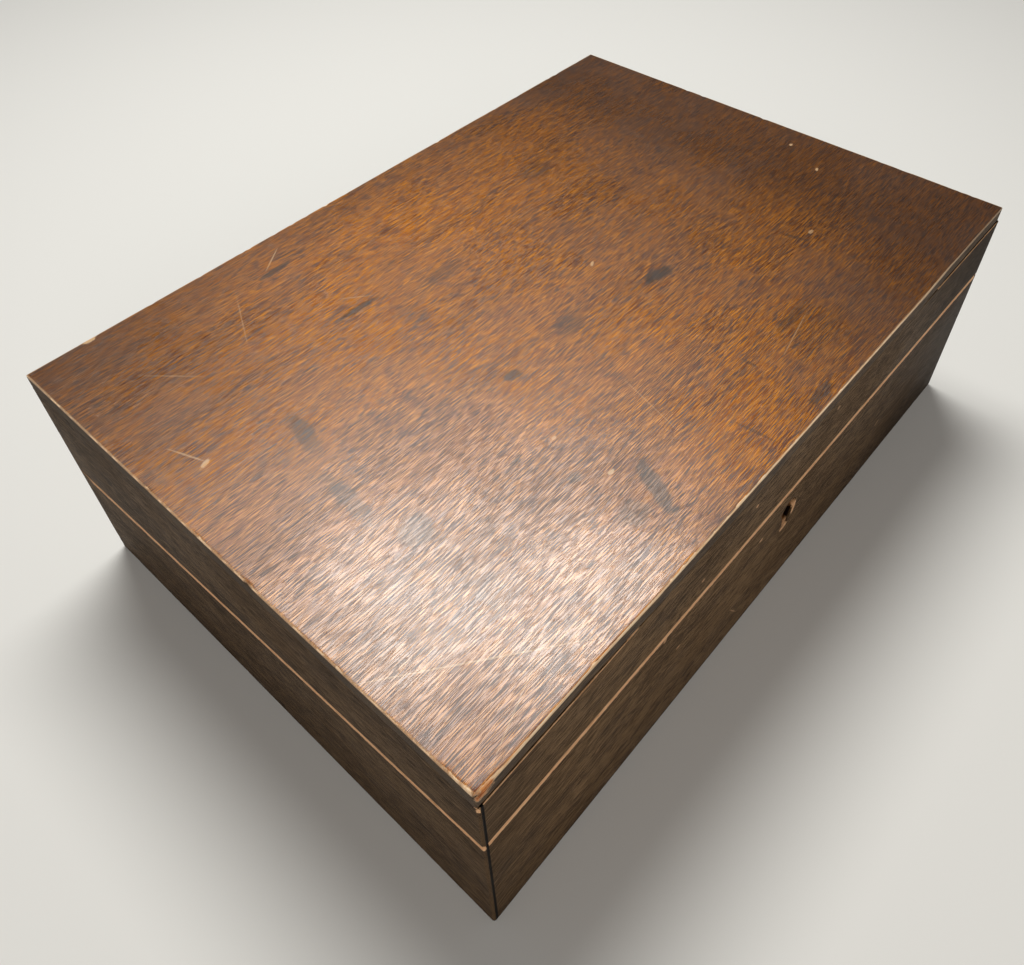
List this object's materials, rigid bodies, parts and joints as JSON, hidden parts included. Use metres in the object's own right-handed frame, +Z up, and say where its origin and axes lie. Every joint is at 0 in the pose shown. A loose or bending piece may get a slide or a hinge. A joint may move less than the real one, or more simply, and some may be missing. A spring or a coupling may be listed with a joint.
{
  "type": "writing box",
  "caption": "Flat-topped wooden writing slope with a sloping seam, folding lid, hinged lined flaps, pen well, inkwells and box lock.",
  "frame": {"origin": "middle of the underside of the closed box, without the hinge knuckles", "axes": "+X along the keyhole side towards its right end, +Y from the keyhole side to the hinge side, +Z up"},
  "size_m": [0.35, 0.2443, 0.115],
  "materials": {
    "mahogany_top": "worn satin polish with ink marks",
    "mahogany_walls": "dark worn polish, pale at the arrises",
    "mahogany_inside": "thin polish",
    "deal": "planed and left bare",
    "brass": "dull with age",
    "steel": "dull with age",
    "baize": "felted wool cloth",
    "glass": "clear moulded",
    "leather": "plain disc"
  },
  "bodies": {
    "base": {"base_front_wall": "mahogany_walls", "base_back_wall": "mahogany_walls", "base_left_wall": "mahogany_walls", "base_right_wall": "mahogany_walls", "base_bottom_board": "deal", "pen_well_partition": "mahogany_inside", "left_inkwell_divider": "mahogany_inside", "right_inkwell_divider": "mahogany_inside", "pen_tray": "mahogany_inside", "pen_tray_bearers": "deal", "base_flap_bearers": "deal", "left_inkwell_bottle": "glass", "right_inkwell_bottle": "glass", "left_inkwell_cap": "brass", "right_inkwell_cap": "brass", "inkwell_washers": "leather", "lock_plate": "brass", "lock_case": "brass", "lock_key_pin": "steel", "lock_guide_studs": "steel", "lock_screws": "steel", "base_hinge_leaves": "brass", "hinge_pins": "steel", "base_hinge_screws": "steel", "base_flap_hinge_fixed_leaves": "brass", "base_flap_hinge_pins": "steel", "base_flap_hinge_fixed_screws": "steel"},
    "lid": {"lid_top_board": "mahogany_top", "lid_front_rail": "mahogany_walls", "lid_back_rail": "mahogany_walls", "lid_left_rail": "mahogany_walls", "lid_right_rail": "mahogany_walls", "lid_flap_bearers": "deal", "lid_hinge_leaves": "brass", "lid_hinge_screws": "steel", "strike_plate": "brass", "strike_screws": "steel", "turn_button_pivot": "steel", "lid_flap_hinge_fixed_leaves": "brass", "lid_flap_hinge_pins": "steel", "lid_flap_hinge_fixed_screws": "steel"},
    "base_flap": {"base_flap_board": "mahogany_inside", "base_flap_lining": "baize", "base_flap_hinge_moving_leaves": "brass", "base_flap_hinge_moving_screws": "steel"},
    "lid_flap": {"lid_flap_board": "mahogany_inside", "lid_flap_lining": "baize", "lid_flap_hinge_moving_leaves": "brass", "lid_flap_hinge_moving_screws": "steel"},
    "lock_bolt": {"lock_bolt": "brass", "lock_spring": "steel"},
    "turn_button": {"turn_button": "brass"}
  },
  "joints": [
    {"name": "lid_hinge", "type": "hinge", "parent": "base", "child": "lid", "pos_m": [0, 0.12115, 0.0575], "axis": [-1, 0, 0], "range_deg": [0, 180]},
    {"name": "base_flap_hinge", "type": "hinge", "parent": "base", "child": "base_flap", "pos_m": [0, 0.109, 0.05646], "axis": [-1, 0, 0], "range_deg": [0, 81]},
    {"name": "lid_flap_hinge", "type": "hinge", "parent": "lid", "child": "lid_flap", "pos_m": [0, 0.109, 0.06057], "axis": [1, 0, 0], "range_deg": [0, 63]},
    {"name": "lock_bolt_slide", "type": "slide", "parent": "base", "child": "lock_bolt", "axis": [1, 0, 0], "range_m": [0, 0.004]},
    {"name": "turn_button_pivot", "type": "hinge", "parent": "lid", "child": "turn_button", "pos_m": [0.075, -0.116, 0.07738], "axis": [0, 0.0831, 0.9965], "range_deg": [0, 90]}
  ],
  "couplings": [
    {"joint": "base_flap_hinge", "follows": "lid_hinge", "ratio": 0.45},
    {"joint": "lid_flap_hinge", "follows": "lid_hinge", "ratio": 0.35}
  ]
}
